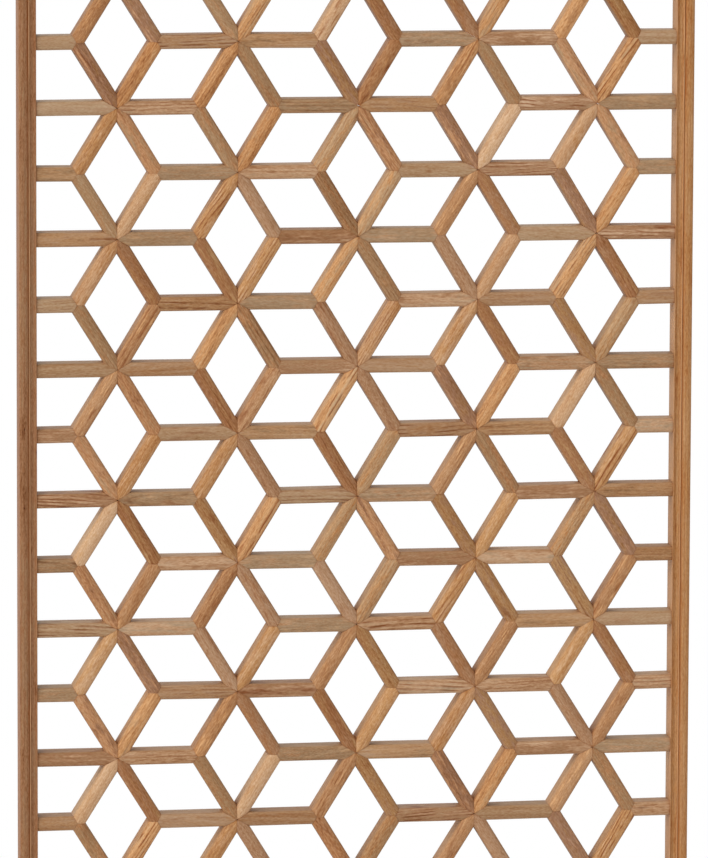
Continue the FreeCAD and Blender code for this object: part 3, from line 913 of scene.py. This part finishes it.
def oiled_softwood(name, palette, tones, drifts):
    """Hand-planed softwood, oiled once and gone dry.

    Each board has its own colour out of the palette, with rings that show as lines or as
    cathedral figures, fine dark fibres, flecks, stains and now and then a pin knot. Sawn side faces
    are greyer, joints and a star's middle are darkened by old oiling, and the arrises are paler from
    rubbing.
    Painted shade darkens sharp corners and the frame's hollows and outer sides, and painted light pales
    corners beside level strips, the frame's lips and its inner sides.
    tones holds the strength of fibres, streaks, flecks, stains, long shades and board lightness,
    and drifts how far stains, streaks, long shades and fibres move a board's colour along its palette.
    """
    material, tree, shader = new_material(name)
    timber, board, marks = (
        add_node(tree, "ShaderNodeAttribute", {"attribute_name": stored}).outputs["Vector"]
        for stored in ("timber", "board", "marks")
    )
    pick, lightness, board_rings = add_node(tree, "ShaderNodeSeparateXYZ", {}, {0: board}).outputs
    sawn, oil_and_shade, paled = add_node(tree, "ShaderNodeSeparateXYZ", {}, {0: marks}).outputs
    fibre, streak, fleck, stain, long_shade = (
        grained_noise(tree, timber, *pattern) for pattern in (FIBRES, STREAKS, FLECKS, STAINS, LONG_SHADES)
    )

    place = moved_by_patterns(tree, pick, (stain, streak, long_shade, fibre), drifts, True)
    stops = [(i / (len(palette) - 1), colour) for i, colour in enumerate(palette)]
    hue = add_node(tree, "ShaderNodeValToRGB", {}, {0: place}, stops)

    patches = add_node(
        tree, "ShaderNodeMapRange", {},
        {"Value": stain, "From Min": RING_PATCH_FROM, "From Max": RING_PATCH_TO},
    )
    ring_patches = add_node(
        tree, "ShaderNodeMath", {"operation": "MULTIPLY"}, {0: patches.outputs[0], 1: board_rings}
    )
    ring_strength = add_node(
        tree, "ShaderNodeMath", {"operation": "MULTIPLY"},
        {0: late_wood(tree, timber), 1: ring_patches.outputs[0]},
    )
    ringed = add_node(
        tree, "ShaderNodeMix", {"data_type": "RGBA", "blend_type": "MULTIPLY"},
        {MIX_FACTOR: ring_strength.outputs[0], MIX_A: hue.outputs[0], MIX_B: linear(LATE_WOOD_TINT)},
    )
    sided = add_node(
        tree, "ShaderNodeMix", {"data_type": "RGBA", "blend_type": "MULTIPLY"},
        {MIX_FACTOR: sawn, MIX_A: ringed.outputs[MIX_RESULT], MIX_B: linear(SAWN_SIDE_TINT)},
    )

    patterns = fibre, streak, fleck, stain, long_shade, lightness
    tone = moved_by_patterns(tree, WOOD_TONE, patterns, tones, False)
    channels = {
        i: add_node(tree, "ShaderNodeMath", {"operation": "POWER"}, {0: tone, 1: power}).outputs[0]
        for i, power in enumerate(DARKENING_POWERS)
    }
    darkening = add_node(tree, "ShaderNodeCombineXYZ", {}, channels)
    toned = add_node(
        tree, "ShaderNodeVectorMath", {"operation": "MULTIPLY"},
        {0: sided.outputs[MIX_RESULT], 1: darkening.outputs[0]},
    )
    knotted = add_node(
        tree, "ShaderNodeMix", {"data_type": "RGBA"},
        {MIX_FACTOR: pin_knots(tree, timber), MIX_A: toned.outputs[0], MIX_B: linear(KNOT_COLOUR)},
    )
    # Old oil on joints and stars' middles, and painted shade in sharp corners, in the frame's hollows, on
    # its outer sides and at the frame joints
    darkened = add_node(
        tree, "ShaderNodeMix", {"data_type": "RGBA"},
        {MIX_FACTOR: oil_and_shade, MIX_A: knotted.outputs[MIX_RESULT], MIX_B: linear(OLD_OIL_AND_SHADE)},
    )
    # Rubbed arrises, and painted light and highlights beside level strips, on the frame's lips and its
    # inner sides
    rub_and_light = add_node(tree, "ShaderNodeMath", {"operation": "MULTIPLY"}, {0: paled, 1: RUB_AND_LIGHT_COVER})
    lightened = add_node(
        tree, "ShaderNodeMix", {"data_type": "RGBA"},
        {MIX_FACTOR: rub_and_light.outputs[0], MIX_A: darkened.outputs[MIX_RESULT], MIX_B: linear(RUB_AND_LIGHT_COLOUR)},
    )
    tree.links.new(lightened.outputs[MIX_RESULT], shader.inputs["Base Color"])

    roughness = add_node(
        tree, "ShaderNodeMath", {"operation": "MULTIPLY_ADD"},
        {0: fibre, 1: FIBRE_ROUGHNESS, 2: SOFTWOOD_ROUGHNESS},
    )
    tree.links.new(roughness.outputs[0], shader.inputs["Roughness"])
    shader.inputs["IOR"].default_value = SOFTWOOD_IOR
    shader.inputs["Specular IOR Level"].default_value = SOFTWOOD_SHEEN
    height = add_node(
        tree, "ShaderNodeMath", {"operation": "MULTIPLY_ADD"}, {0: fibre, 1: FIBRE_RELIEF, 2: fleck}
    )
    relief = add_node(
        tree, "ShaderNodeBump", {},
        {"Strength": RELIEF_STRENGTH, "Distance": RELIEF_MM * MM, "Height": height.outputs[0]},
    )
    tree.links.new(relief.outputs[0], shader.inputs["Normal"])
    return material


def whittled_peg_wood(name):
    """Whittled hardwood pegs: pale end grain with darker rings, and a rougher cut."""
    material, tree, shader = new_material(name)
    place = add_node(tree, "ShaderNodeTexCoord").outputs["Object"]
    rings = add_node(
        tree, "ShaderNodeTexNoise", {}, {"Vector": place, "Scale": 1 / (PEG_RING_MM * MM), "Detail": 3.0}
    )
    colour = add_node(tree, "ShaderNodeValToRGB", {}, {0: rings.outputs[0]}, PEG_RINGS)
    tree.links.new(colour.outputs[0], shader.inputs["Base Color"])
    shader.inputs["Roughness"].default_value = PEG_ROUGHNESS
    relief = add_node(
        tree, "ShaderNodeBump", {},
        {"Strength": PEG_RELIEF_STRENGTH, "Distance": PEG_RELIEF_MM * MM, "Height": rings.outputs[0]},
    )
    tree.links.new(relief.outputs[0], shader.inputs["Normal"])
    return material


def zinc_plated_steel(name, scratch_mm):
    """Pressed steel with a dulled zinc coat: grey with a faint warm cloud and fine scratches."""
    material, tree, shader = new_material(name)
    place = add_node(tree, "ShaderNodeTexCoord").outputs["Object"]
    across, along = 1 / (scratch_mm * MM), 1 / (SCRATCH_STRETCH * scratch_mm * MM)
    scratched = add_node(
        tree, "ShaderNodeVectorMath", {"operation": "MULTIPLY"}, {0: place, 1: (across, across, along)}
    )
    scratches = add_node(
        tree, "ShaderNodeTexNoise", {}, {"Vector": scratched.outputs[0], "Scale": 1.0, "Detail": 2.0}
    )
    cloud = add_node(
        tree, "ShaderNodeTexNoise", {}, {"Vector": place, "Scale": 1 / (ZINC_CLOUD_MM * MM), "Detail": 2.0}
    )
    colour = add_node(tree, "ShaderNodeValToRGB", {}, {0: cloud.outputs[0]}, ZINC_CLOUD)
    tree.links.new(colour.outputs[0], shader.inputs["Base Color"])
    shader.inputs["Metallic"].default_value = 1.0
    roughness = add_node(
        tree, "ShaderNodeMath", {"operation": "MULTIPLY_ADD"},
        {0: scratches.outputs[0], 1: SCRATCH_ROUGHNESS, 2: ZINC_ROUGHNESS},
    )
    tree.links.new(roughness.outputs[0], shader.inputs["Roughness"])
    return material


def dress_hardware():
    """Gives the pegs, plates and screws their finish."""
    plate = zinc_plated_steel("zinc_plated_steel_plate", PLATE_SCRATCH_MM)
    screw = zinc_plated_steel("zinc_plated_steel_screw", SCREW_SCRATCH_MM)
    peg = whittled_peg_wood("whittled_hardwood_peg")
    for node, material in (
        ("left_hanger_plate", plate),
        ("right_hanger_plate", plate),
        ("hanger_screws", screw),
        ("corner_pegs", peg),
    ):
        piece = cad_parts[node]
        piece.data.materials.clear()
        piece.data.materials.append(material)


# Studio

FLOOR_HALF = 9.0
FLOOR_FADE_START = 0.25
FLOOR_FADE_END = 1.0
FLOOR_COLOUR = "#f4f4f4"
FLOOR_ROUGHNESS = 0.9
FLOOR_SHEEN = 0.1
ROOM_COLOUR = "#fbfcff"
ROOM_STRENGTH = 0.56

# Broad suns: degrees left of the panel's front, degrees up, strength, spread in degrees and colour
SUNS = {
    "key": (50, 25, 2.2, 75, "#fffdf8"),
    "back": (160, 40, 0.7, 40, "#fbfcff"),
}


def seen_directly(tree):
    """1 for what the camera sees itself or in a gloss or glass, and 0 for light on the object."""
    path = add_node(tree, "ShaderNodeLightPath")
    direct = add_node(
        tree, "ShaderNodeMath", {"operation": "MAXIMUM"},
        {0: path.outputs["Is Camera Ray"], 1: path.outputs["Is Glossy Ray"]},
    )
    return add_node(
        tree, "ShaderNodeMath", {"operation": "MAXIMUM"},
        {0: direct.outputs[0], 1: path.outputs["Is Transmission Ray"]},
    ).outputs[0]


def build_surround():
    """A white surround that lights softly."""
    world = bpy.data.worlds.new("studio")
    bpy.context.scene.world = world
    world.use_nodes = True
    tree = world.node_tree
    tree.nodes.clear()
    soft = add_node(
        tree, "ShaderNodeBackground", {}, {"Color": linear(ROOM_COLOUR), "Strength": ROOM_STRENGTH}
    )
    white = add_node(tree, "ShaderNodeBackground", {}, {"Color": (1, 1, 1, 1), "Strength": 1.0})
    both = add_node(
        tree, "ShaderNodeMixShader", {}, {0: seen_directly(tree), 1: soft.outputs[0], 2: white.outputs[0]}
    )
    add_node(tree, "ShaderNodeOutputWorld", {}, {"Surface": both.outputs[0]})


def build_floor():
    """A pale floor that melts into the white surround away from the panel."""
    mesh = bpy.data.meshes.new("floor")
    corners = [(-1, -1), (1, -1), (1, 1), (-1, 1)]
    mesh.from_pydata([(x * FLOOR_HALF, y * FLOOR_HALF, 0) for x, y in corners], [], [(0, 1, 2, 3)])
    floor = bpy.data.objects.new("floor", mesh)
    bpy.context.scene.collection.objects.link(floor)
    material, tree, shader = new_material("pale_studio_floor")
    shader.inputs["Base Color"].default_value = linear(FLOOR_COLOUR)
    shader.inputs["Roughness"].default_value = FLOOR_ROUGHNESS
    shader.inputs["Specular IOR Level"].default_value = FLOOR_SHEEN
    place = add_node(tree, "ShaderNodeTexCoord").outputs["Object"]
    distance = add_node(tree, "ShaderNodeVectorMath", {"operation": "LENGTH"}, {0: place})
    fade = add_node(
        tree, "ShaderNodeMapRange", {"interpolation_type": "SMOOTHSTEP"},
        {"Value": distance.outputs["Value"], "From Min": FLOOR_FADE_START, "From Max": FLOOR_FADE_END},
    )
    share = add_node(
        tree, "ShaderNodeMath", {"operation": "MULTIPLY"}, {0: fade.outputs[0], 1: seen_directly(tree)}
    )
    glow = add_node(tree, "ShaderNodeEmission", {}, {"Color": (1, 1, 1, 1), "Strength": 1.0})
    mixed = add_node(
        tree, "ShaderNodeMixShader", {}, {0: share.outputs[0], 1: shader.outputs[0], 2: glow.outputs[0]}
    )
    output = next(node for node in tree.nodes if node.bl_idname == "ShaderNodeOutputMaterial")
    tree.links.new(mixed.outputs[0], output.inputs["Surface"])
    mesh.materials.append(material)


def add_sun(name, angle_left, elevation, strength, spread, colour):
    """A broad, soft sun from an angle left of the panel's front, in degrees."""
    lamp = bpy.data.lights.new(name, "SUN")
    lamp.energy = strength
    lamp.angle = math.radians(spread)
    lamp.color = linear(colour)[:3]
    sun = bpy.data.objects.new(name, lamp)
    bpy.context.scene.collection.objects.link(sun)
    left, up = math.radians(angle_left), math.radians(elevation)
    towards = Vector((-math.sin(left) * math.cos(up), -math.cos(left) * math.cos(up), math.sin(up)))
    sun.rotation_mode = "QUATERNION"
    sun.rotation_quaternion = towards.to_track_quat("Z", "Y")


# Camera: level with the upper lattice, well to the left and far off

CAMERA_PLACE = (-1.092, -7.3, 1.748)
CAMERA_YAW = 8.492
CAMERA_PITCH = -7.456
CAMERA_ROLL = 0.201
CAMERA_SHIFT_Y = -0.10
PICTURE_HEIGHT = 858
FOCAL_PIXELS = 7218.3
SENSOR = 36.0
CLIP_NEAR, CLIP_FAR = 0.1, 100


def build_camera():
    """The photograph's view, from a yaw to the right, a pitch and a roll in degrees."""
    yaw, pitch, roll = (math.radians(angle) for angle in (CAMERA_YAW, CAMERA_PITCH, CAMERA_ROLL))
    level = Vector((math.sin(yaw), math.cos(yaw), 0))
    side = Vector((math.cos(yaw), -math.sin(yaw), 0))
    forward = level * math.cos(pitch) + Vector((0, 0, math.sin(pitch)))
    above = Vector((0, 0, math.cos(pitch))) - level * math.sin(pitch)
    right = side * math.cos(roll) + above * math.sin(roll)
    up = above * math.cos(roll) - side * math.sin(roll)
    lens = bpy.data.cameras.new("camera")
    lens.sensor_width = SENSOR
    lens.lens = FOCAL_PIXELS / PICTURE_HEIGHT * SENSOR
    lens.shift_y = CAMERA_SHIFT_Y
    lens.clip_start = CLIP_NEAR
    lens.clip_end = CLIP_FAR
    camera = bpy.data.objects.new("camera", lens)
    bpy.context.scene.collection.objects.link(camera)
    turn = Matrix((right, up, -forward)).transposed().to_4x4()
    camera.matrix_world = Matrix.Translation(CAMERA_PLACE) @ turn
    bpy.context.scene.camera = camera


# Putting it together

build_camera()
build_surround()
build_floor()
for sun_name, settings in SUNS.items():
    add_sun(sun_name, *settings)
wood_materials = {use: oiled_softwood(f"oiled_softwood_{use}", *wood) for use, wood in WOODS.items()}
build_frame(wood_materials)
build_lattice(wood_materials)
dress_hardware()
bpy.context.scene.view_settings.view_transform = "Standard"
